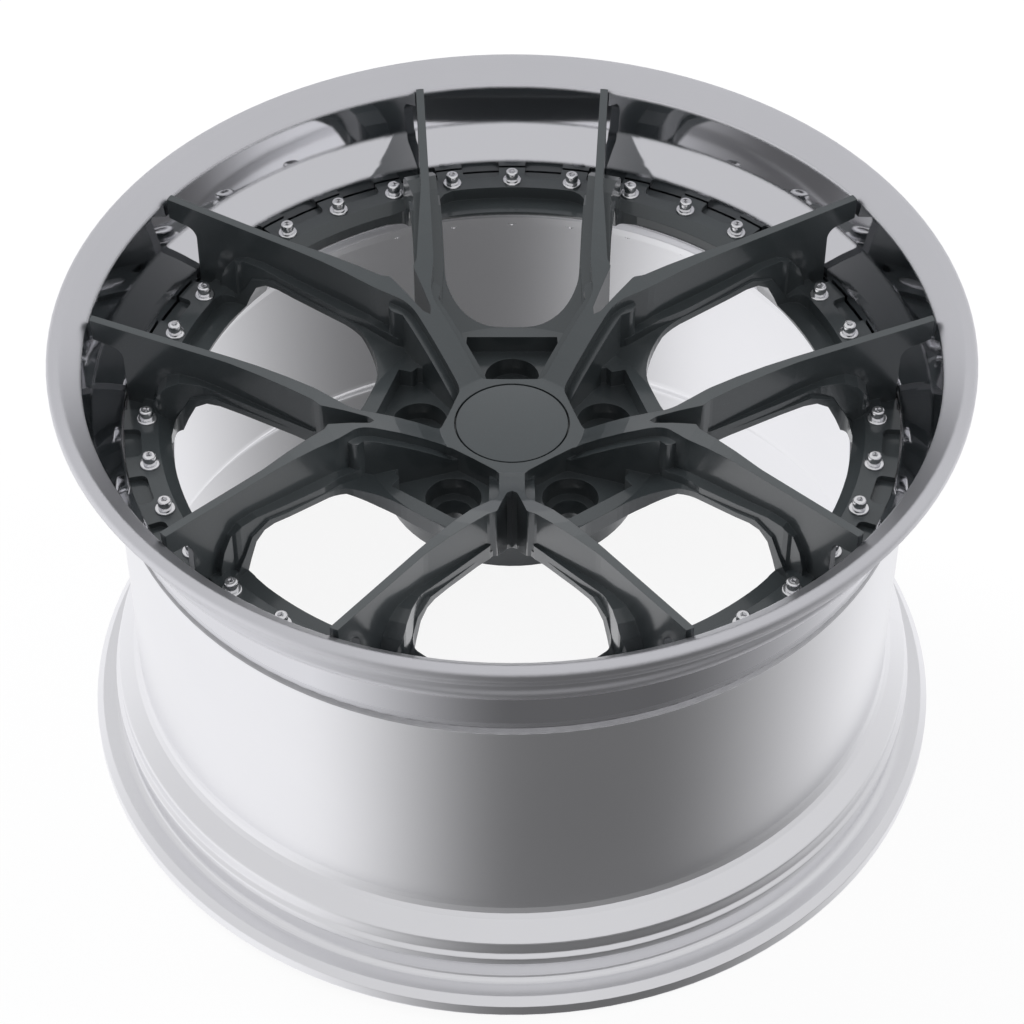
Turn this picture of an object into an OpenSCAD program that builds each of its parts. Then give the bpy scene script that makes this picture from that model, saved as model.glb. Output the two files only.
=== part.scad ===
// Three-piece road wheel that stands on its rear flange, face up.
// The axis is +Z, z = 0 is the rear flange and lengths are in millimetres.

/* [Rim] */
// Diameter of the tyre bead seats
bead_seat_d = 514.4; // [513:0.1:515]
// Width between the two flange faces that hold the tyre
rim_width = 279.4; // [270:0.2:300]
// Height of a flange above its bead seat
flange_h = 17.3; // [16.8:0.1:18]
// Thickness of a flange along the axis
flange_t = 14.55; // [14:0.05:15]
// Depth of the front lip, from its edge down to the bolting face
lip_depth = 64.8; // [64.4:0.1:66]
// Outer diameter of the drop centre
barrel_d = 484; // [483.6:0.1:484.6]
// Wall thickness of the drop centre
barrel_t = 6; // [4.5:0.1:6]
// Diameter of the valve hole
valve_hole_d = 11.3; // [11:0.1:12]

/* [Centre disc] */
// Radius at the tips of the spokes
tip_r = 253.2; // [252.4:0.1:253.4]
// Height of the spoke tips above the bolting face
tip_h = 56.3; // [55:0.1:57]
// Radius of the hollow curve that the face of the disc follows
face_r = 278; // [270:1:290]
// Distance of the hub face below the bolting face
hub_drop = 12.3; // [12:0.1:13]
// Distance of the mounting face below the bolting face
mount_drop = 57; // [54:0.1:62]
// Outer diameter of the disc, where it sits inside the lip
disc_d = 470; // [469:0.1:470.6]
// Thickness of the ring that the assembly bolts clamp
ring_t = 12; // [11:0.1:13]
// Width of a spoke ridge on its top
ridge_w = 5; // [4:0.1:6.5]
// Width of a stem where it leaves the hub
stem_w = 15.2; // [14:0.1:17]
// Depth of the valleys between the stems, below the bolting face
valley_drop = 29; // [27:0.1:31]

/* [Hub] */
// Diameter of the centre bore
hub_bore_d = 72.6; // [70:0.1:74]
// Pitch circle of the wheel bolts
lug_pcd = 120; // [119:0.1:121]
// Diameter of a wheel bolt hole
lug_hole_d = 15; // [13:0.1:16]
// Diameter of the pocket above a wheel bolt seat
lug_pocket_d = 34; // [30:0.5:35]
// Mouth diameter of the conical bolt seat
lug_seat_d = 23; // [20:0.5:25]
// Diameter of the mounting pad
pad_d = 160; // [154:1:164]
// Diameter of the cap
cap_d = 70.4; // [68:0.1:70.8]
// Thickness of the cap's face
cap_t = 5; // [4:0.1:6]

/* [Assembly bolts] */
// Pitch circle of the assembly bolts
bolt_pcd = 442.2; // [441:0.2:444]
// Thread diameter of a bolt
bolt_d = 6; // [5:0.1:6.2]
// Diameter of a bolt head
bolt_head_d = 8.2; // [7.6:0.1:9]
// Height of a bolt head above its washer
bolt_head_h = 6.6; // [5:0.1:8]
// Diameter of a washer
washer_d = 12.4; // [11:0.1:13]
// Thickness of a washer
washer_t = 1.4; // [1:0.1:2]
// Width of a nut across its flats
nut_af = 10; // [9:0.1:10.6]
// Height of a nut
nut_h = 6; // [4:0.1:7]

/* [Hidden] */
$fn = 120;
small_fn = 24;

// Levels along the axis
total_h = rim_width + 2 * flange_t;
bolting_z = total_h - lip_depth;
seat_z = bolting_z - ring_t;
lip_flange_t = 7;
joint_z = seat_z - lip_flange_t;
barrel_flange_t = 7;
rear_face_z = joint_z - barrel_flange_t;

// Radii of the rim
seat_r = bead_seat_d / 2;
flange_r = seat_r + flange_h;
barrel_r = barrel_d / 2;
bore_r = barrel_r - barrel_t;
lip_bore_r = 236;
clamp_inner_r = 206;
disc_r = disc_d / 2;

// Pattern of the disc
spokes = 5;
sector = 360 / spokes;
first_stem = 90 - sector / 2;
bolt_count = 35;
bolt_step = 360 / bolt_count;

// A corner is [x, y, radius] and becomes an arc of points
function arc_step(r) = r > 15 ? 7.5 : 15;
function unit(v) = v / norm(v);
function bend(a, b, c) =
    let (u = unit([a.x - b.x, a.y - b.y]), v = unit([c.x - b.x, c.y - b.y]),
        half = acos(max(-1, min(1, u * v))) / 2,
        centre = [b.x, b.y] + unit(u + v) * b.z / sin(half),
        start = [b.x, b.y] + u * b.z / tan(half) - centre,
        side = u.x * v.y - u.y * v.x > 0 ? -1 : 1,
        sweep = 180 - 2 * half, steps = max(1, round(sweep / arc_step(b.z))))
    [for (i = [0:steps]) let (t = side * sweep * i / steps)
        centre + [start.x * cos(t) - start.y * sin(t), start.x * sin(t) + start.y * cos(t)]];
function path(p) = [for (i = [0:len(p) - 1])
    each p[i].z > 0 ? bend(p[i - 1], p[i], p[(i + 1) % len(p)]) : [[p[i].x, p[i].y]]];
function turned(p, a) = [for (q = p) [q.x * cos(a) - q.y * sin(a), q.x * sin(a) + q.y * cos(a)]];
function arc(r, a0, a1, n) = [for (i = [0:n]) let (a = a0 + (a1 - a0) * i / n) [r * cos(a), r * sin(a)]];
// A half outline from the axis of symmetry and back to it, with its mirror image
function both(half) = concat(half, [for (k = [len(half) - 2:-1:1]) [half[k].x, -half[k].y]]);

module around_stems() {
    for (i = [0:spokes - 1])
        rotate(first_stem + i * sector)
            children();
}

module around_windows() {
    for (i = [0:spokes - 1])
        rotate(first_stem + (i + 0.5) * sector)
            children();
}

module around_bolts() {
    for (i = [0:bolt_count - 1])
        rotate(90 + i * bolt_step)
            translate([bolt_pcd / 2, 0])
                children();
}

// Centre disc: heights are above the bolting face
tip_slope = 9.6;
bend_r = 168;
bend_h = tip_h - (tip_r - bend_r) * tan(tip_slope);
hub_slope = asin(sin(tip_slope) + (bend_r - 44.5) / face_r);
// The face is hollow: a curve from the hub that runs out straight to the tips
face_line = concat([[44, -hub_drop]],
    [for (i = [8:-1:0]) let (a = tip_slope + (hub_slope - tip_slope) * i / 8)
        [bend_r - face_r * (sin(a) - sin(tip_slope)), bend_h - face_r * (cos(tip_slope) - cos(a))]],
    [[tip_r, tip_h]]);
// The back climbs from the ring to the arms and drops to the mounting pad
back_line = [[disc_r, -ring_t], [200, -ring_t], [196, -2], [191, 8.4], [184, 12.6], [176, 12], [154, 5],
    [132, -2], [119, -7], [101.6, -22], [87, -32.6], [pad_d / 2, -36], [pad_d / 2, 1.5 - mount_drop],
    [pad_d / 2 - 1.5, -mount_drop], [0, -mount_drop]];
// A tip reaches over the ring with a rounded arch below it
arch_r = 9;
arch_h = 30;
tip_under_h = 41.6;
arch_line = concat([[tip_r - 0.8, tip_under_h]],
    [for (a = [90:10:180]) [disc_r - 0.5 + arch_r + arch_r * cos(a), arch_h + arch_r * sin(a)]]);

// A solid with the given plan whose top follows a side profile
module under(top) {
    intersection() {
        translate([0, 0, bolting_z - 100])
            linear_extrude(200)
                children();
        translate([0, 0, bolting_z])
            rotate_extrude()
                polygon(concat([[0, top[0].y]], top, [[top[len(top) - 1].x, -mount_drop - 4],
                    [0, -mount_drop - 4]]));
    }
}

module back_cut() {
    translate([0, 0, bolting_z])
        rotate_extrude()
            polygon(concat([[disc_r + 30, -mount_drop - 10], [disc_r + 30, -ring_t]], back_line,
                [[0, -mount_drop - 10]]));
}

// A spoke arm leans 32 degrees from its stem and ends at the lip
arm_lean = 32;
arm_end = tip_r * [cos(22.2), sin(22.2)];
arm_dir = [cos(arm_lean), sin(arm_lean)];
arm_side = [-sin(arm_lean), cos(arm_lean)];
function on_arm(s, off, r) = let (p = arm_end - arm_dir * s + arm_side * off) [p.x, p.y, r];

// Top outline of hub, stem and ridge over half a sector, from the valley to the crotch
valley_r = 39.3;
ridge_half = path([
    [valley_r * cos(sector / 2), valley_r * sin(sector / 2), 0],
    [43.4, stem_w / 2, 8],
    [97, stem_w / 2, 20],
    [115.6, 23.2, 30],
    on_arm(0, ridge_w / 2, 0),
    on_arm(0, -ridge_w / 2, 0),
    on_arm(84, -ridge_w / 2 - 1, 50),
    [120.5, 13.6, 6],
    [117, 8.6, 3],
    [90, 3, 3],
    [86.5, 0, 0]]);

module ridge_plan() {
    polygon([for (i = [0:spokes - 1])
        each turned(concat([for (q = ridge_half) [q.x, -q.y]],
            [for (k = [len(ridge_half) - 2:-1:1]) ridge_half[k]]), first_stem + i * sector)]);
}

// Narrow ledge along both sides of a stem, below its top
stem_ledge_drop = 7;
module stem_ledge_plan() {
    around_stems()
        for (m = [0, 1])
            mirror([0, m])
                polygon(path([[30, 5.5, 0], [30, 13.5, 0], [97, 13.5, 0], [103.5, 20.5, 4], [108, 16, 0],
                    [106, 9, 0], [98, 6.2, 0]]));
}

// Ledge beside an arm towards the open V between the two arms of one stem
module inner_ledge_plan() {
    around_stems()
        for (m = [0, 1])
            mirror([0, m])
                polygon(path([[118, 12, 0], [122, 12.6, 1.5], [178.5, 51, 30], [208, 61, 9], [206, 86, 0],
                    [150, 45, 0], [125, 24, 0]]));
}

// Ledge beside an arm towards the U window, in the frame of the window
module outer_ledge_plan() {
    around_windows()
        for (m = [0, 1])
            mirror([0, m])
                polygon(path([[86, 52, 0], [88, 45, 4], [128, 43.5, 20], [205, 50.5, 12], [206, 62, 0],
                    [120, 54, 0]]));
}
ledge_top = [[44, -20], [88, -14], [100, -7], [120, 4], [133, 8], [164, 17], [188, 24.5],
    [200, 26], [208, 22.5], [214, 15], [217.5, 5], [218.5, -4]];

// Windows: a U between neighbouring spokes and a V between the arms of one
u_outer_r = 199.5;
u_window = both(path(concat([[93, 0, 0], [93, 41, 33], [168, 45.3, 0], [193.6, 47, 8]],
    [for (q = arc(u_outer_r, 9, 0, 4)) [q.x, q.y, 0]])));
v_outer_r = 206.5;
v_window = both(path(concat([[84, 0, 0], [84, 8, 3], [118, 10.5, 8], [158, 36, 0], [195, 57.3, 5]],
    [for (q = arc(v_outer_r, 12.6, 0, 5)) [q.x, q.y, 0]])));

module window_plan() {
    around_windows()
        polygon(u_window);
    around_stems()
        polygon(v_window);
}

web_top = [[44, -16.5], [93, -16.5], [106, -10], [120, -2], [133, 3], [164, 12], [180, 17.5], [194, 14],
    [200, 4], [206.4, -5], [214, 0], [disc_r, 0]];

// Ring under the U windows and notches around its edge, between the tabs of the bolts
u_ring_drop = 9;
u_ring_r = 214;
notch_drop = 4;
notch_r = 224.5;
tab_half = 8.6;
module ring_cuts() {
    translate([0, 0, bolting_z - u_ring_drop])
        linear_extrude(40)
            around_windows()
                polygon(both(path(concat([[150, 0, 0], [150, 44, 0], [206, 49, 9]],
                    [for (q = arc(u_ring_r, 10.4, 0, 5)) [q.x, q.y, 0]]))));
    half = bolt_step / 2;
    translate([0, 0, bolting_z - notch_drop])
        linear_extrude(30)
            for (i = [0:bolt_count - 1])
                rotate(90 + (i + 0.5) * bolt_step)
                    polygon(both(path([[notch_r, 0, 0], [notch_r, notch_r * sin(half) - tab_half, 4],
                        [disc_r + 2, notch_r * sin(half) - tab_half + 1, 0], [disc_r + 2, 0, 0]])));
}

lug_r = lug_pcd / 2;
lug_seat_h = -42;
lug_cone_h = (lug_seat_d - lug_hole_d) / 2 * tan(60);
module lug_cuts() {
    around_windows()
        translate([lug_r, 0, bolting_z]) {
            translate([0, 0, lug_seat_h])
                cylinder(d = lug_pocket_d, h = 60);
            translate([0, 0, lug_seat_h - lug_cone_h])
                cylinder(d1 = lug_hole_d, d2 = lug_seat_d, h = lug_cone_h);
            translate([0, 0, -mount_drop - 1])
                cylinder(d = lug_hole_d, h = 30, $fn = 48);
        }
}

// Centre bore, with the seat of the cap at the front
cap_gap = 0.2;
cap_seat_h = -hub_drop - cap_t - 0.1;
cap_bore_d = 62;
cap_bore_h = cap_seat_h - 12;
ring_groove_h = cap_seat_h - 9;
module hub_cuts() {
    translate([0, 0, bolting_z])
        rotate_extrude()
            polygon([[0, 1], [cap_d / 2 + cap_gap, 1], [cap_d / 2 + cap_gap, cap_seat_h],
                [cap_bore_d / 2, cap_seat_h], [cap_bore_d / 2, ring_groove_h + 1.2],
                [cap_bore_d / 2 + 1.2, ring_groove_h + 1.2], [cap_bore_d / 2 + 1.2, ring_groove_h - 1.2],
                [cap_bore_d / 2, ring_groove_h - 1.2], [cap_bore_d / 2, cap_bore_h],
                [hub_bore_d / 2, cap_bore_h], [hub_bore_d / 2, 2 - mount_drop],
                [hub_bore_d / 2 + 2, -mount_drop], [hub_bore_d / 2 + 2, -mount_drop - 1],
                [0, -mount_drop - 1]]);
}

// Floor of the valleys, a transverse wall closes it towards the window
valley_wall_x = 83.5;
module valley_cuts() {
    translate([0, 0, bolting_z - valley_drop])
        linear_extrude(40)
            around_windows()
                polygon(both(path([[20, 0, 0], [20, 34, 0], [73, 34, 2], [75, 29, 2], [valley_wall_x, 28.5, 0],
                    [valley_wall_x, 0, 0]])));
}

module centre_disc() {
    color("dimgray")
    difference() {
        union() {
            difference() {
                under(web_top)
                    difference() {
                        circle(r = disc_r + 5);
                        window_plan();
                    }
                valley_cuts();
                ring_cuts();
            }
            under(ledge_top)
                union() {
                    inner_ledge_plan();
                    outer_ledge_plan();
                }
            under([for (q = face_line) if (q.x < 140) [q.x, q.y - stem_ledge_drop]])
                stem_ledge_plan();
            under(concat(face_line, arch_line))
                ridge_plan();
        }
        back_cut();
        lug_cuts();
        hub_cuts();
        around_bolts()
            translate([0, 0, seat_z - 1])
                cylinder(d = bolt_d + 0.4, h = ring_t + 2, $fn = small_fn);
    }
}

// Front lip, a forged ring: the flange, the stepped inner wall and the flange that is clamped
lip_face_h = 12.8;
module outer_lip() {
    top = total_h;
    color("silver")
    difference() {
        rotate_extrude()
            polygon(path([
                [clamp_inner_r, joint_z, 0], [clamp_inner_r, seat_z, 0],
                [lip_bore_r, seat_z, 0], [lip_bore_r, bolting_z + 5, 2],
                [252, bolting_z + 24, 2], [255, bolting_z + 52, 1.5], [268.2, top, 4],
                [flange_r, top, 3], [flange_r, top - 6.8, 1], [flange_r - 3.5, top - 10, 0],
                [flange_r - 3.8, top - flange_t, 1], [seat_r, top - flange_t, 5],
                [seat_r, top - flange_t - 18, 0], [seat_r + 1.3, top - flange_t - 21, 2],
                [seat_r + 0.6, top - flange_t - 25, 3], [barrel_r, bolting_z + 9, 5],
                [barrel_r, joint_z + 2.6, 0], [barrel_r - 2.6, joint_z, 0]]));
        around_bolts()
            translate([0, 0, joint_z - 1])
                cylinder(d = bolt_d + 0.4, h = lip_flange_t + 2, $fn = small_fn);
        valve_hole();
    }
}

// The valve hole leaves through the cone of the lip, square to it
valve_r = 244;
valve_h = 14.5;
valve_tilt = 130;
module valve_hole() {
    rotate(-90)
        translate([valve_r, 0, bolting_z + valve_h])
            rotate([0, valve_tilt, 0])
                translate([0, 0, -13])
                    cylinder(d = valve_hole_d, h = 40, $fn = 48);
}

// Barrel: the drop centre, the rear bead seat and the rear flange it stands on
module inner_barrel() {
    color("gainsboro")
    difference() {
        rotate_extrude()
            polygon(path([
                [clamp_inner_r + 2, joint_z, 0], [clamp_inner_r + 2, rear_face_z, 0],
                [bore_r, rear_face_z, 4], [bore_r, 66, 12], [251, 48, 8], [251, 12, 3],
                [268.6, 0, 3], [flange_r, 0, 3], [flange_r, 10, 1], [flange_r - 4.5, flange_t, 1],
                [seat_r, flange_t, 5], [seat_r, 28, 0], [seat_r + 2.3, 32, 2], [seat_r + 2.3, 37, 2],
                [seat_r - 0.2, 40, 2], [seat_r - 0.2, 48.5, 3], [barrel_r, 63, 14],
                [barrel_r, joint_z - 2.6, 0], [barrel_r - 2.6, joint_z, 0]]));
        around_bolts()
            translate([0, 0, rear_face_z - 1])
                cylinder(d = bolt_d + 0.4, h = barrel_flange_t + 2, $fn = small_fn);
    }
}

// Bead of sealant in the groove between lip and barrel
module rim_seal() {
    color("lightgray")
    rotate_extrude()
        polygon([[barrel_r - 2.5, joint_z], [barrel_r, joint_z - 2.5], [barrel_r + 0.4, joint_z],
            [barrel_r, joint_z + 2.5]]);
}

cap_plug_r = cap_bore_d / 2 - 0.3;
cap_plug_h = 11;
wire_d = 1.8;
o_ring_t = 1.8;
o_ring_h = cap_seat_h - 3;
o_ring_groove = 1.6;
module centre_cap() {
    face = bolting_z - hub_drop;
    color("dimgray")
    rotate_extrude()
        polygon(path([[0, face, 0], [cap_d / 2, face, 0.4], [cap_d / 2, face - cap_t, 0],
            [cap_plug_r, face - cap_t, 0], [cap_plug_r, bolting_z + o_ring_h + 1, 0],
            [cap_plug_r - o_ring_groove, bolting_z + o_ring_h + 1, 0],
            [cap_plug_r - o_ring_groove, bolting_z + o_ring_h - 1, 0],
            [cap_plug_r, bolting_z + o_ring_h - 1, 0], [cap_plug_r, bolting_z + ring_groove_h + 1, 0],
            [cap_plug_r - 1.4, bolting_z + ring_groove_h + 1, 0],
            [cap_plug_r - 1.4, bolting_z + ring_groove_h - 1, 0],
            [cap_plug_r, bolting_z + ring_groove_h - 1, 0],
            [cap_plug_r - 1, face - cap_t - cap_plug_h, 0], [cap_plug_r - 4, face - cap_t - cap_plug_h, 0],
            [cap_plug_r - 4, face - cap_t, 2], [0, face - cap_t, 0]]));
}

// Open wire ring that snaps the cap into the groove of the bore
module cap_retaining_ring() {
    color("lightsteelblue")
    translate([0, 0, bolting_z + ring_groove_h])
        rotate([0, 0, 10])
            rotate_extrude(angle = 340)
                translate([cap_bore_d / 2, 0])
                    circle(d = wire_d, $fn = small_fn);
}

module cap_o_ring() {
    color("black")
    translate([0, 0, bolting_z + o_ring_h])
        rotate_extrude()
            translate([cap_bore_d / 2 - o_ring_t / 2 - 0.05, 0])
                circle(d = o_ring_t, $fn = small_fn);
}

grip = ring_t + lip_flange_t + barrel_flange_t;
module assembly_bolts() {
    color("whitesmoke")
    around_bolts()
        translate([0, 0, bolting_z]) {
            difference() {
                union() {
                    translate([0, 0, washer_t])
                        cylinder(d = bolt_head_d, h = bolt_head_h, $fn = small_fn);
                    translate([0, 0, -grip - washer_t - nut_h - 3])
                        cylinder(d = bolt_d, h = grip + 2 * washer_t + nut_h + 4, $fn = small_fn);
                }
                translate([0, 0, washer_t + bolt_head_h - 3.2])
                    cylinder(d = 5.2, h = 4, $fn = 6);
            }
        }
}

module washer(z) {
    translate([0, 0, z])
        difference() {
            cylinder(d = washer_d, h = washer_t, $fn = small_fn);
            translate([0, 0, -1])
                cylinder(d = bolt_d + 0.2, h = washer_t + 2, $fn = small_fn);
        }
}

module front_washers() {
    color("whitesmoke")
    around_bolts()
        washer(bolting_z);
}

module rear_washers() {
    color("silver")
    around_bolts()
        washer(rear_face_z - washer_t);
}

module assembly_nuts() {
    color("silver")
    around_bolts()
        translate([0, 0, rear_face_z - washer_t - nut_h])
            difference() {
                cylinder(d = nut_af / cos(30), h = nut_h, $fn = 6);
                translate([0, 0, -1])
                    cylinder(d = bolt_d + 0.05, h = nut_h + 2, $fn = small_fn);
            }
}

centre_disc();
outer_lip();
inner_barrel();
rim_seal();
centre_cap();
cap_retaining_ring();
cap_o_ring();
assembly_bolts();
front_washers();
rear_washers();
assembly_nuts();
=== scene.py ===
from math import atan2, cos, hypot, pi, radians

import bmesh
import bpy
from bpy.props import FloatProperty, FloatVectorProperty, IntProperty, PointerProperty
from mathutils import Matrix, Vector


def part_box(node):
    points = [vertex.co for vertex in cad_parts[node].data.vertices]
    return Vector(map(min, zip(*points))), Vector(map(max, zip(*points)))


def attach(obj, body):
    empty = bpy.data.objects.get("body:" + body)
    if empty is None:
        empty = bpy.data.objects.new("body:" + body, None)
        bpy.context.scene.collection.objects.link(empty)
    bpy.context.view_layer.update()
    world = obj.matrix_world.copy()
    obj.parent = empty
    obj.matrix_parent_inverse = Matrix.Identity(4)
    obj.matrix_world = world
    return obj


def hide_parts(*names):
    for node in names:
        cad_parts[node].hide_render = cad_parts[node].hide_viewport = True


bl_info = {
    "name": "Three-piece wheel",
    "version": (1, 0, 0),
    "blender": (4, 5, 0),
    "location": "3D View > Sidebar > Wheel",
    "description": "Dresses a three-piece car wheel: finishes, fasteners, sealant and studio",
    "category": "Object",
}

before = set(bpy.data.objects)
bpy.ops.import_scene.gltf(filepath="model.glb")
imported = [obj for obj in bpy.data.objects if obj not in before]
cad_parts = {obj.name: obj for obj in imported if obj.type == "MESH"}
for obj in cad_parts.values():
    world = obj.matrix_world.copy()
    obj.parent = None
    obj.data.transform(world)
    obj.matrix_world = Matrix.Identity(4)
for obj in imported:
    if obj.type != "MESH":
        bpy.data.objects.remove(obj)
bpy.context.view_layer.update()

# Lengths in metres
SAME = 1e-6  # two lengths closer than this count as equal
HOLE_CLEARANCE = 0.0001  # between a thread and the hole of a washer or a nut
POLISH_EDGE = (0.2552, 0.2556)  # radii between which the lip's polish gives way to satin
POLISH_START = (0.006, 0.008)  # heights over the lip's lowest face between which the polish starts

# Studio: what metal sees round it. A dark flag stands low down, between two ramps of the angle
# round the wheel axis
FLAG_IN = (radians(-165), radians(-88))
FLAG_OUT = (radians(-50), radians(60))
HORIZON = (-0.15, 0.3)
SKY_LIGHT, GROUND_LIGHT, FLAG_LIGHT = 0.75, 1.08, 0.15
AMBIENT = (0.5, 0.5, 0.51)

LAMP_TARGET = (0, 0, 0.15)
SOFTBOXES = (  # name, place, width, height, power
    ("key softbox", (-1.6, 1.4, 2.4), 1.6, 1.6, 36),
    ("fill softbox", (2.2, 0.3, 1.6), 1.2, 1.8, 22))
FLOOR_SIZE = 6
FLOOR_SEEN_SHARE = 0.17  # share of the floor's tone that the camera sees lit
FLOOR_GLOW = 0.88  # light the camera sees from the floor itself

CAMERA_PLACE = (0, -1.2716, 1.4258)
CAMERA_TARGET = (0, 0, 0.1542)
LENS_MM, SENSOR_MM = 100.37, 36


def top_of(node):
    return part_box(node)[1][2]


def bottom_of(node):
    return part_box(node)[0][2]


class WheelSizes(bpy.types.PropertyGroup):
    """Sizes of the pieces made here, in metres"""

    bolt_circle: FloatProperty(
        name="Bolt circle radius", description="Radius of the ring of assembly bolts",
        default=0.2211, unit="LENGTH", precision=4)
    bolt_count: IntProperty(name="Bolts", description="Number of assembly bolts", default=35, min=5)
    head_radius: FloatProperty(
        name="Head radius", description="Radius of a bolt head",
        default=0.0041, unit="LENGTH", precision=4)
    thread_radius: FloatProperty(
        name="Thread radius", description="Radius of a bolt's thread",
        default=0.003, unit="LENGTH", precision=4)
    socket_radius: FloatProperty(
        name="Socket radius", description="Corner radius of the hexagon socket in a bolt head",
        default=0.0021, unit="LENGTH", precision=4)
    washer_radius: FloatProperty(
        name="Washer radius", description="Outer radius of a washer",
        default=0.0062, unit="LENGTH", precision=4)
    nut_flats: FloatProperty(
        name="Nut width", description="Width of a nut across its flats",
        default=0.01, unit="LENGTH", precision=4)
    cap_gap: FloatProperty(
        name="Cap gap", description="How far the cap's face stays inside the rim of its seat",
        default=0.0009, unit="LENGTH", precision=5)
    edge_radius: FloatProperty(
        name="Edge radius", description="Rounding of the milled edges of the disc",
        default=0.0007, unit="LENGTH", precision=5)
    groove_depth: FloatProperty(
        name="Turning groove depth", description="Depth of the fine turning grooves of the rim",
        default=0.00001, unit="LENGTH", precision=6)


class WheelColours(bpy.types.PropertyGroup):
    """Colours of the finishes"""

    paint: FloatVectorProperty(
        name="Disc lacquer", description="Anthracite lacquer of the centre disc and the cap",
        subtype="COLOR", size=3, min=0, max=1, default=(0.05, 0.06, 0.064))
    lip: FloatVectorProperty(
        name="Lip metal", description="Satin aluminium of the lip's flange",
        subtype="COLOR", size=3, min=0, max=1, default=(0.65, 0.65, 0.675))
    polish: FloatVectorProperty(
        name="Polished metal", description="Polished steps inside the lip",
        subtype="COLOR", size=3, min=0, max=1, default=(0.68, 0.68, 0.705))
    barrel: FloatVectorProperty(
        name="Barrel metal", description="Satin aluminium of the barrel",
        subtype="COLOR", size=3, min=0, max=1, default=(0.85, 0.85, 0.865))
    steel: FloatVectorProperty(
        name="Fastener steel", description="Stainless steel of bolts, washers and nuts",
        subtype="COLOR", size=3, min=0, max=1, default=(0.82, 0.82, 0.83))
    sealant: FloatVectorProperty(
        name="Sealant", description="Bead between lip and barrel",
        subtype="COLOR", size=3, min=0, max=1, default=(0.42, 0.42, 0.44))
    floor: FloatVectorProperty(
        name="Floor", description="Studio floor",
        subtype="COLOR", size=3, min=0, max=1, default=(0.86, 0.86, 0.86))


class Graph:
    """Short way to add and join the nodes of one tree"""

    def __init__(self, tree):
        self.tree = tree

    def add(self, kind, values=None, **settings):
        node = self.tree.nodes.new(kind)
        for key, value in settings.items():
            setattr(node, key, value)
        for key, value in (values or {}).items():
            if isinstance(value, bpy.types.NodeSocket):
                self.join(value, node.inputs[key])
            else:
                node.inputs[key].default_value = value
        return node

    def math(self, operation, a, b=0.0):
        return self.add("ShaderNodeMath", {0: a, 1: b}, operation=operation).outputs[0]

    def rest(self, value):
        """What is left of one"""
        return self.math("SUBTRACT", 1.0, value)

    def band(self, value, low, high):
        """Rises softly from 0 to 1 between two values"""
        return self.add(
            "ShaderNodeMapRange", {"Value": value, "From Min": low, "From Max": high},
            interpolation_type="SMOOTHSTEP").outputs["Result"]

    def blend(self, factor, a, b):
        """Mixes two colours"""
        a, b = (c if isinstance(c, bpy.types.NodeSocket) else (*c[:3], 1) for c in (a, b))
        return self.add("ShaderNodeMix", {0: factor, 6: a, 7: b}, data_type="RGBA").outputs[2]

    def mix(self, factor, a, b):
        """Mixes two numbers"""
        return self.add("ShaderNodeMix", {0: factor, 2: a, 3: b}, data_type="FLOAT").outputs[0]

    def join(self, out, socket):
        self.tree.links.new(out, socket)


def new_group(name, inputs, outputs):
    """An empty shader node group with its sockets, and the group's input and output nodes"""
    tree = bpy.data.node_groups.new(name, "ShaderNodeTree")
    for label, kind, value in inputs:
        socket = tree.interface.new_socket(label, in_out="INPUT", socket_type=kind)
        if value is not None:
            socket.default_value = value
    for label, kind in outputs:
        tree.interface.new_socket(label, in_out="OUTPUT", socket_type=kind)
    return Graph(tree), tree.nodes.new("NodeGroupInput"), tree.nodes.new("NodeGroupOutput")


def wheel_radius(g, place):
    """Distance of a point from the wheel axis, and its height"""
    x, y, z = g.add("ShaderNodeSeparateXYZ", {0: place}).outputs
    return g.math("SQRT", g.math("ADD", g.math("MULTIPLY", x, x), g.math("MULTIPLY", y, y))), z


def lathe_group():
    """Fine turning grooves round the wheel axis, as a height and a mask"""
    if "Turned grooves" in bpy.data.node_groups:
        return bpy.data.node_groups["Turned grooves"]
    height_share, wave_share = 0.83, 0.25
    g, given, made = new_group(
        "Turned grooves",
        [("Vector", "NodeSocketVector", None), ("Pitch", "NodeSocketFloat", 0.0012)],
        [("Height", "NodeSocketFloat"), ("Mask", "NodeSocketFloat")])
    radius, z = wheel_radius(g, given.outputs["Vector"])
    along = g.math("ADD", radius, g.math("MULTIPLY", z, height_share))
    turns = g.math("DIVIDE", along, given.outputs["Pitch"])
    wobble = g.add(
        "ShaderNodeTexNoise", {"W": turns, "Scale": 0.9, "Detail": 3.0, "Roughness": 0.6},
        noise_dimensions="1D").outputs["Fac"]
    wave = g.math("SINE", g.math("MULTIPLY", turns, 2 * pi))
    g.join(g.math("ADD", g.math("MULTIPLY", wave, wave_share), wobble), made.inputs["Height"])
    g.join(wobble, made.inputs["Mask"])
    return g.tree


def grime_group():
    """Slow changes of tone and small specks, so that no finish is one flat value"""
    if "Slight unevenness" in bpy.data.node_groups:
        return bpy.data.node_groups["Slight unevenness"]
    speck_limits = (0.56, 0.72)
    g, given, made = new_group(
        "Slight unevenness",
        [("Vector", "NodeSocketVector", None), ("Size", "NodeSocketFloat", 18.0)],
        [("Cloud", "NodeSocketFloat"), ("Speck", "NodeSocketFloat")])
    place, size = given.outputs["Vector"], given.outputs["Size"]
    cloud = g.add("ShaderNodeTexNoise", {
        "Vector": place, "Scale": size, "Detail": 5.0, "Roughness": 0.55})
    speck = g.add("ShaderNodeTexNoise", {
        "Vector": place, "Scale": 900.0, "Detail": 2.0, "Roughness": 0.5})
    g.join(cloud.outputs["Fac"], made.inputs["Cloud"])
    g.join(g.band(speck.outputs["Fac"], *speck_limits), made.inputs["Speck"])
    return g.tree


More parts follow.
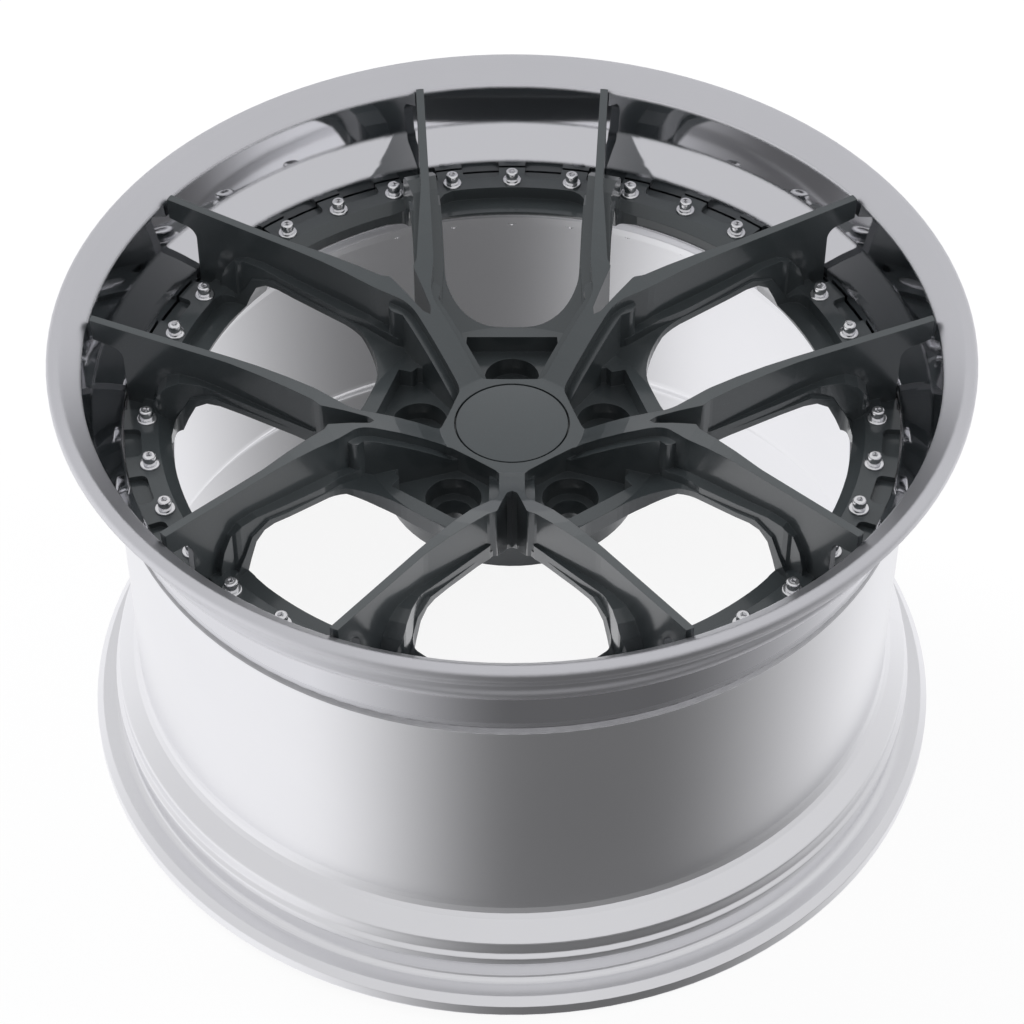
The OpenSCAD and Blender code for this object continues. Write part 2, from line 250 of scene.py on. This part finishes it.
def new_material(name, **values):
    """A Principled material with its graph and its object coordinates"""
    mat = bpy.data.materials.new(name)
    mat.use_nodes = True
    g = Graph(mat.node_tree)
    shader = mat.node_tree.nodes["Principled BSDF"]
    for key, value in values.items():
        shader.inputs[key.replace("_", " ")].default_value = value
    place = g.add("ShaderNodeTexCoord").outputs["Object"]
    return mat, g, shader, place


def uneven(g, place, size):
    """The cloud and the speck of the shared unevenness"""
    node = g.add("ShaderNodeGroup", {"Vector": place, "Size": size}, node_tree=grime_group())
    return node.outputs["Cloud"], node.outputs["Speck"]


def grooves(g, place, pitch):
    """The height and the mask of the shared turning grooves"""
    node = g.add("ShaderNodeGroup", {"Vector": place, "Pitch": pitch}, node_tree=lathe_group())
    return node.outputs["Height"], node.outputs["Mask"]


def bump(g, height, distance, strength):
    values = {"Height": height, "Distance": distance, "Strength": strength}
    return g.add("ShaderNodeBump", values).outputs["Normal"]


def shade(tone, factor):
    return tuple(c * factor for c in tone)


def clouded(g, cloud, tone, dark, light):
    """A tone that drifts between two shades of itself"""
    return g.blend(cloud, shade(tone, dark), shade(tone, light))


def rounded_edges(g, shader, radius, normal):
    """Edges catch the light as if they were rounded, over the fine bump"""
    node = g.add("ShaderNodeBevel", {"Radius": radius}, samples=4)
    g.join(node.outputs["Normal"], normal.node.inputs["Normal"])
    g.join(normal, shader.inputs["Normal"])


def lacquer(name, tone, edge):
    """Anthracite lacquer: a dark coat with fine flake under clear gloss"""
    mat, g, shader, place = new_material(
        name, Metallic=0.25, Coat_Weight=1.0, Coat_Roughness=0.13, Coat_IOR=1.45)
    cloud, speck = uneven(g, place, 14.0)
    colour = clouded(g, cloud, tone, dark=0.93, light=1.07)
    g.join(g.blend(speck, colour, shade(tone, 1.12)), shader.inputs["Base Color"])
    g.join(g.mix(cloud, 0.36, 0.44), shader.inputs["Roughness"])
    peel = g.add("ShaderNodeTexNoise", {"Vector": place, "Scale": 260.0, "Detail": 1.0})
    rounded_edges(g, shader, edge, bump(g, peel.outputs["Fac"], distance=0.00002, strength=0.25))
    return mat


def lip_finish(tone, bright, depth, edge):
    """Satin flange and polished inner steps on one ring"""
    mat, g, shader, place = new_material("lip satin and polish", Metallic=1.0)
    radius, height = wheel_radius(g, place)
    inside = g.rest(g.band(radius, *POLISH_EDGE))
    above = g.band(height, *(bottom_of("outer_lip") + start for start in POLISH_START))
    polished = g.math("MULTIPLY", inside, above)
    cloud, _ = uneven(g, place, 9.0)
    lines, _ = grooves(g, place, 0.0016)
    rough = g.mix(cloud, 0.3, 0.38)
    g.join(g.mix(polished, rough, 0.045), shader.inputs["Roughness"])
    satin = clouded(g, cloud, tone, dark=0.97, light=1.05)
    g.join(g.blend(polished, satin, bright), shader.inputs["Base Color"])
    strength = g.mix(polished, 0.5, 0.06)
    rounded_edges(g, shader, edge, bump(g, lines, distance=depth, strength=strength))
    return mat


def barrel_finish(tone, depth):
    """Satin spun aluminium"""
    mat, g, shader, place = new_material("barrel satin", Metallic=1.0)
    cloud, _ = uneven(g, place, 7.0)
    lines, mask = grooves(g, place, 0.0021)
    g.join(clouded(g, cloud, tone, dark=0.96, light=1.04), shader.inputs["Base Color"])
    g.join(g.mix(mask, 0.27, 0.31), shader.inputs["Roughness"])
    g.join(bump(g, lines, distance=depth, strength=0.15), shader.inputs["Normal"])
    return mat


def steel_finish(name, tone, rough):
    """Stainless steel with drawing marks"""
    mat, g, shader, place = new_material(name, Metallic=1.0)
    cloud, speck = uneven(g, place, 300.0)
    g.join(clouded(g, cloud, tone, dark=0.88, light=1.1), shader.inputs["Base Color"])
    g.join(g.mix(cloud, rough * 0.7, rough * 1.3), shader.inputs["Roughness"])
    g.join(bump(g, speck, distance=0.00001, strength=0.4), shader.inputs["Normal"])
    return mat


def rubber_finish(name, tone, rough):
    """Matt rubber or cured sealant"""
    mat, g, shader, place = new_material(name)
    cloud, speck = uneven(g, place, 120.0)
    g.join(clouded(g, cloud, tone, dark=0.8, light=1.2), shader.inputs["Base Color"])
    g.join(g.mix(speck, rough, rough * 0.8), shader.inputs["Roughness"])
    g.join(bump(g, cloud, distance=0.00008, strength=0.5), shader.inputs["Normal"])
    return mat


def turned(bm, outline, steps=24, closed=False):
    """Spins an outline of radius and height round the upright axis"""
    points = [bm.verts.new((r, 0, z)) for r, z in outline]
    pairs = zip(points, points[1:] + points[:1] if closed else points[1:])
    lines = [bm.edges.new(pair) for pair in pairs]
    bmesh.ops.spin(
        bm, geom=points + lines, cent=(0, 0, 0), axis=(0, 0, 1), angle=2 * pi, steps=steps,
        use_merge=True)
    bmesh.ops.remove_doubles(bm, verts=bm.verts, dist=SAME / 10)


def at_radius(vert, radius):
    return abs(hypot(vert.co.x, vert.co.y) - radius) < SAME


def soften(bm, radius, height, width, segments=3):
    """Rounds the edge that runs round a turned shape at one radius and height"""
    def on_ring(vert):
        return at_radius(vert, radius) and abs(vert.co.z - height) < SAME
    ring = [edge for edge in bm.edges if all(on_ring(vert) for vert in edge.verts)]
    bmesh.ops.bevel(
        bm, geom=ring, offset=width, offset_type="OFFSET", affect="EDGES", segments=segments,
        profile=0.5, material=-1)


def make_hexagon(bm, corner):
    """Moves the rings of one radius onto the hexagon that has its corners there"""
    for vert in bm.verts:
        if at_radius(vert, corner):
            angle = atan2(vert.co.y, vert.co.x) % (pi / 3) - pi / 6
            vert.co.xy = vert.co.xy.normalized() * corner * cos(pi / 6) / cos(angle)


def round_the_wheel(bm, radius, count):
    """Sets a shape on the bolt circle and repeats it round the wheel axis"""
    bmesh.ops.translate(bm, verts=bm.verts, vec=(0, radius, 0))
    first = bm.verts[:] + bm.edges[:] + bm.faces[:]
    for i in range(1, count):
        made = bmesh.ops.duplicate(bm, geom=first)["geom"]
        bmesh.ops.rotate(
            bm, verts=[v for v in made if isinstance(v, bmesh.types.BMVert)], cent=(0, 0, 0),
            matrix=Matrix.Rotation(2 * pi * i / count, 3, "Z"))


def finished(bm, name, node, mat, sharp=35):
    """Turns a bmesh into a piece that stands for a CAD node"""
    bmesh.ops.recalc_face_normals(bm, faces=bm.faces)
    mesh = bpy.data.meshes.new(name)
    bm.to_mesh(mesh)
    bm.free()
    mesh.shade_smooth()
    mesh.set_sharp_from_angle(angle=radians(sharp))
    mesh.materials.append(mat)
    piece = bpy.data.objects.new(name, mesh)
    bpy.context.collection.objects.link(piece)
    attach(piece, "root")
    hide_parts(node)


def dress(node, mat):
    """Puts a finish on a CAD node"""
    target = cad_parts[node]
    if not target.material_slots:
        target.data.materials.append(mat)
    for held in target.material_slots:
        held.material = mat


class WHEEL_OT_disc(bpy.types.Operator):
    """Lacquers the centre disc"""

    bl_idname = "wheel.disc"
    bl_label = "Centre disc"

    def execute(self, context):
        colours, sizes = context.scene.wheel_colours, context.scene.wheel_sizes
        dress("centre_disc", lacquer("disc lacquer", tuple(colours.paint), sizes.edge_radius))
        return {"FINISHED"}


class WHEEL_OT_cap(bpy.types.Operator):
    """Turns the cap with its plug and grooves, and finishes its ring and seal"""

    bl_idname = "wheel.cap"
    bl_label = "Centre cap"

    def execute(self, context):
        colours, sizes = context.scene.wheel_colours, context.scene.wheel_sizes
        face_thickness, plug_wall, tip_taper = 0.005, 0.004, 0.001
        groove_half, seal_depth, wire_depth, wire_reach = 0.001, 0.0016, 0.0014, 0.0012
        low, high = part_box("centre_cap")
        wire, seal = (
            sum(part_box(node), Vector()).z / 2 for node in ("cap_retaining_ring", "cap_o_ring"))
        edge = high.x - sizes.cap_gap
        under = high.z - face_thickness
        plug = -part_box("cap_retaining_ring")[0].x - wire_reach
        outline = [(0, high.z), (edge, high.z), (edge, under), (plug, under)]
        for middle, depth in ((seal, seal_depth), (wire, wire_depth)):
            upper, lower = middle + groove_half, middle - groove_half
            outline += [(plug, upper), (plug - depth, upper), (plug - depth, lower), (plug, lower)]
        outline += [
            (plug - tip_taper, low.z), (plug - plug_wall, low.z), (plug - plug_wall, under),
            (0, under)]
        bm = bmesh.new()
        turned(bm, outline, steps=96)
        soften(bm, edge, high.z, width=0.0004)
        soften(bm, edge, under, width=0.0003, segments=2)
        paint = shade(tuple(colours.paint), 1.02)
        finish = lacquer("cap lacquer", paint, sizes.edge_radius / 4)
        finished(bm, "cap", "centre_cap", finish)
        steel = shade(tuple(colours.steel), 0.8)
        dress("cap_retaining_ring", steel_finish("spring wire", steel, 0.3))
        dress("cap_o_ring", rubber_finish("seal rubber", (0.02, 0.02, 0.021), 0.6))
        return {"FINISHED"}


class WHEEL_OT_rim(bpy.types.Operator):
    """Finishes the two rim halves and the sealant between them"""

    bl_idname = "wheel.rim"
    bl_label = "Rim halves"

    def execute(self, context):
        colours, sizes = context.scene.wheel_colours, context.scene.wheel_sizes
        depth, lip_edge = sizes.groove_depth, 5 * sizes.edge_radius
        lip = lip_finish(tuple(colours.lip), tuple(colours.polish), depth, lip_edge)
        dress("outer_lip", lip)
        dress("inner_barrel", barrel_finish(tuple(colours.barrel), depth))
        dress("rim_seal", rubber_finish("cured sealant", tuple(colours.sealant), 0.45))
        return {"FINISHED"}


class WHEEL_OT_bolts(bpy.types.Operator):
    """Turns the assembly bolts: rounded socket heads, shanks and threaded ends"""

    bl_idname = "wheel.bolts"
    bl_label = "Assembly bolts"

    def execute(self, context):
        sizes = context.scene.wheel_sizes
        turns, pitch, first_turn, thread_length = 8, 0.001, 0.0005, 0.009
        crest, root, root_depth, tip_taper = 0.0003, 0.0008, 0.0004, 0.0006
        socket_depth, socket_tip = 0.0032, 0.004
        tail, top = bottom_of("assembly_bolts"), top_of("assembly_bolts")
        seat = top_of("front_washers")
        thread, head, socket = sizes.thread_radius, sizes.head_radius, sizes.socket_radius
        outline = [(0, tail), (thread - tip_taper, tail)]
        for turn in range(turns):
            start = tail + first_turn + pitch * turn
            outline += [(thread, start + crest), (thread - root_depth, start + root)]
        outline += [
            (thread, tail + thread_length), (thread, seat), (head, seat), (head, top),
            (socket, top), (socket, top - socket_depth), (0, top - socket_tip)]
        bm = bmesh.new()
        turned(bm, outline)
        soften(bm, head, top, width=0.0012, segments=5)
        soften(bm, head, seat, width=0.00025, segments=2)
        make_hexagon(bm, socket)
        round_the_wheel(bm, sizes.bolt_circle, sizes.bolt_count)
        finish = steel_finish("bolt steel", tuple(context.scene.wheel_colours.steel), 0.14)
        finished(bm, "bolts", "assembly_bolts", finish)
        return {"FINISHED"}


class WHEEL_OT_washers(bpy.types.Operator):
    """Turns the washers under the bolt heads and behind the barrel flange"""

    bl_idname = "wheel.washers"
    bl_label = "Washers"

    def execute(self, context):
        sizes = context.scene.wheel_sizes
        tone = tuple(context.scene.wheel_colours.steel)
        hole, rim = sizes.thread_radius + HOLE_CLEARANCE, sizes.washer_radius
        for name, node, rough in (
                ("washers_front", "front_washers", 0.1), ("washers_rear", "rear_washers", 0.2)):
            low, high = bottom_of(node), top_of(node)
            bm = bmesh.new()
            turned(bm, [(hole, low), (rim, low), (rim, high), (hole, high)], closed=True)
            soften(bm, rim, high, width=0.0008, segments=5)
            soften(bm, rim, low, width=0.0002, segments=2)
            round_the_wheel(bm, sizes.bolt_circle, sizes.bolt_count)
            finish = steel_finish(name.replace("_", " ") + " steel", tone, rough)
            finished(bm, name, node, finish)
        return {"FINISHED"}


class WHEEL_OT_nuts(bpy.types.Operator):
    """Makes the nuts behind the barrel flange, with chamfered corners"""

    bl_idname = "wheel.nuts"
    bl_label = "Nuts"

    def execute(self, context):
        sizes = context.scene.wheel_sizes
        corner_chamfer, hole_chamfer = 0.0005, 0.0004
        low, high = bottom_of("assembly_nuts"), top_of("assembly_nuts")
        hole, flat = sizes.thread_radius + HOLE_CLEARANCE, sizes.nut_flats / 2
        corner, face, mouth = flat / cos(pi / 6), flat * 0.96, hole + hole_chamfer
        bm = bmesh.new()
        turned(bm, [
            (mouth, low), (face, low), (corner, low + corner_chamfer),
            (corner, high - corner_chamfer), (face, high), (mouth, high),
            (hole, high - hole_chamfer), (hole, low + hole_chamfer)], closed=True)
        make_hexagon(bm, corner)
        round_the_wheel(bm, sizes.bolt_circle, sizes.bolt_count)
        tone = shade(tuple(context.scene.wheel_colours.steel), 0.9)
        finish = steel_finish("nut steel", tone, 0.25)
        finished(bm, "nuts", "assembly_nuts", finish, sharp=25)
        return {"FINISHED"}


def aim(obj, target):
    obj.rotation_euler = (Vector(target) - obj.location).to_track_quat("-Z", "Y").to_euler()


def softbox(name, place, width, height, power):
    lamp = bpy.data.lights.new(name, "AREA")
    lamp.shape = "RECTANGLE"
    lamp.size, lamp.size_y, lamp.energy = width, height, power
    obj = bpy.data.objects.new(name, lamp)
    bpy.context.collection.objects.link(obj)
    obj.location = place
    obj.visible_glossy = False
    aim(obj, LAMP_TARGET)


def lay_floor(tone):
    """A pale level floor that the camera sees as white, with the wheel's shadow"""
    mesh = bpy.data.meshes.new("floor")
    bm = bmesh.new()
    bmesh.ops.create_grid(bm, x_segments=1, y_segments=1, size=FLOOR_SIZE)
    bm.to_mesh(mesh)
    bm.free()
    floor = bpy.data.objects.new("floor", mesh)
    bpy.context.collection.objects.link(floor)
    floor.visible_glossy = False
    mat, g, shader, _ = new_material("floor", Roughness=0.9, Specular_IOR_Level=0.1)
    seen = g.add("ShaderNodeLightPath").outputs["Is Camera Ray"]
    g.join(g.blend(seen, tone, shade(tone, FLOOR_SEEN_SHARE)), shader.inputs["Base Color"])
    shader.inputs["Emission Color"].default_value = (1, 1, 1, 1)
    g.join(g.math("MULTIPLY", seen, FLOOR_GLOW), shader.inputs["Emission Strength"])
    mesh.materials.append(mat)


def light_world():
    """White for the camera, a soft ambient light, and a studio with a dark flag for metal"""
    world = bpy.data.worlds.new("studio")
    world.use_nodes = True
    w = Graph(world.node_tree)
    back = world.node_tree.nodes["Background"]
    path = w.add("ShaderNodeLightPath").outputs
    way = w.add("ShaderNodeTexCoord").outputs["Generated"]
    x, y, z = w.add("ShaderNodeSeparateXYZ", {0: way}).outputs
    side = w.math("ARCTAN2", y, x)
    flag = w.math("MULTIPLY", w.band(side, *FLAG_IN), w.rest(w.band(side, *FLAG_OUT)))
    low = w.rest(w.band(z, *HORIZON))
    unflagged = w.mix(low, SKY_LIGHT, GROUND_LIGHT)
    bright = w.mix(w.math("MULTIPLY", flag, low), unflagged, FLAG_LIGHT)
    metal = w.blend(bright, (0.0, 0.0, 0.0), (1.0, 1.0, 1.02))
    unseen = w.blend(path["Is Glossy Ray"], AMBIENT, metal)
    seen = w.math("MAXIMUM", path["Is Camera Ray"], path["Is Transmission Ray"])
    w.join(w.blend(seen, unseen, (1.0, 1.0, 1.0)), back.inputs["Color"])
    back.inputs["Strength"].default_value = 1.0
    return world


def set_camera():
    lens = bpy.data.cameras.new("camera")
    lens.sensor_width = SENSOR_MM
    lens.lens = LENS_MM
    camera = bpy.data.objects.new("camera", lens)
    bpy.context.collection.objects.link(camera)
    camera.location = CAMERA_PLACE
    aim(camera, CAMERA_TARGET)
    return camera


class WHEEL_OT_stage(bpy.types.Operator):
    """Builds floor, light and camera"""

    bl_idname = "wheel.stage"
    bl_label = "Studio"

    def execute(self, context):
        scene = context.scene
        lay_floor(tuple(scene.wheel_colours.floor))
        scene.world = light_world()
        for box in SOFTBOXES:
            softbox(*box)
        scene.camera = set_camera()
        scene.view_settings.view_transform = "Standard"
        return {"FINISHED"}


class WHEEL_PT_panel(bpy.types.Panel):
    """Shows the sizes and colours of the wheel and a button for each piece"""

    bl_idname = "WHEEL_PT_panel"
    bl_label = "Three-piece wheel"
    bl_space_type = "VIEW_3D"
    bl_region_type = "UI"
    bl_category = "Wheel"

    def draw(self, context):
        layout = self.layout
        for group in (context.scene.wheel_sizes, context.scene.wheel_colours):
            for key in group.__annotations__:
                layout.prop(group, key)
        for step in STEPS:
            layout.operator(step.bl_idname)


STEPS = (
    WHEEL_OT_disc, WHEEL_OT_cap, WHEEL_OT_rim, WHEEL_OT_bolts, WHEEL_OT_washers, WHEEL_OT_nuts,
    WHEEL_OT_stage)
CLASSES = (WheelSizes, WheelColours, *STEPS, WHEEL_PT_panel)


def register():
    for cls in CLASSES:
        bpy.utils.register_class(cls)
    bpy.types.Scene.wheel_sizes = PointerProperty(type=WheelSizes)
    bpy.types.Scene.wheel_colours = PointerProperty(type=WheelColours)


def unregister():
    del bpy.types.Scene.wheel_colours
    del bpy.types.Scene.wheel_sizes
    for cls in reversed(CLASSES):
        bpy.utils.unregister_class(cls)


def main():
    register()
    for step in STEPS:
        group, name = step.bl_idname.split(".")
        getattr(getattr(bpy.ops, group), name)()


if __name__ == "__main__":
    main()
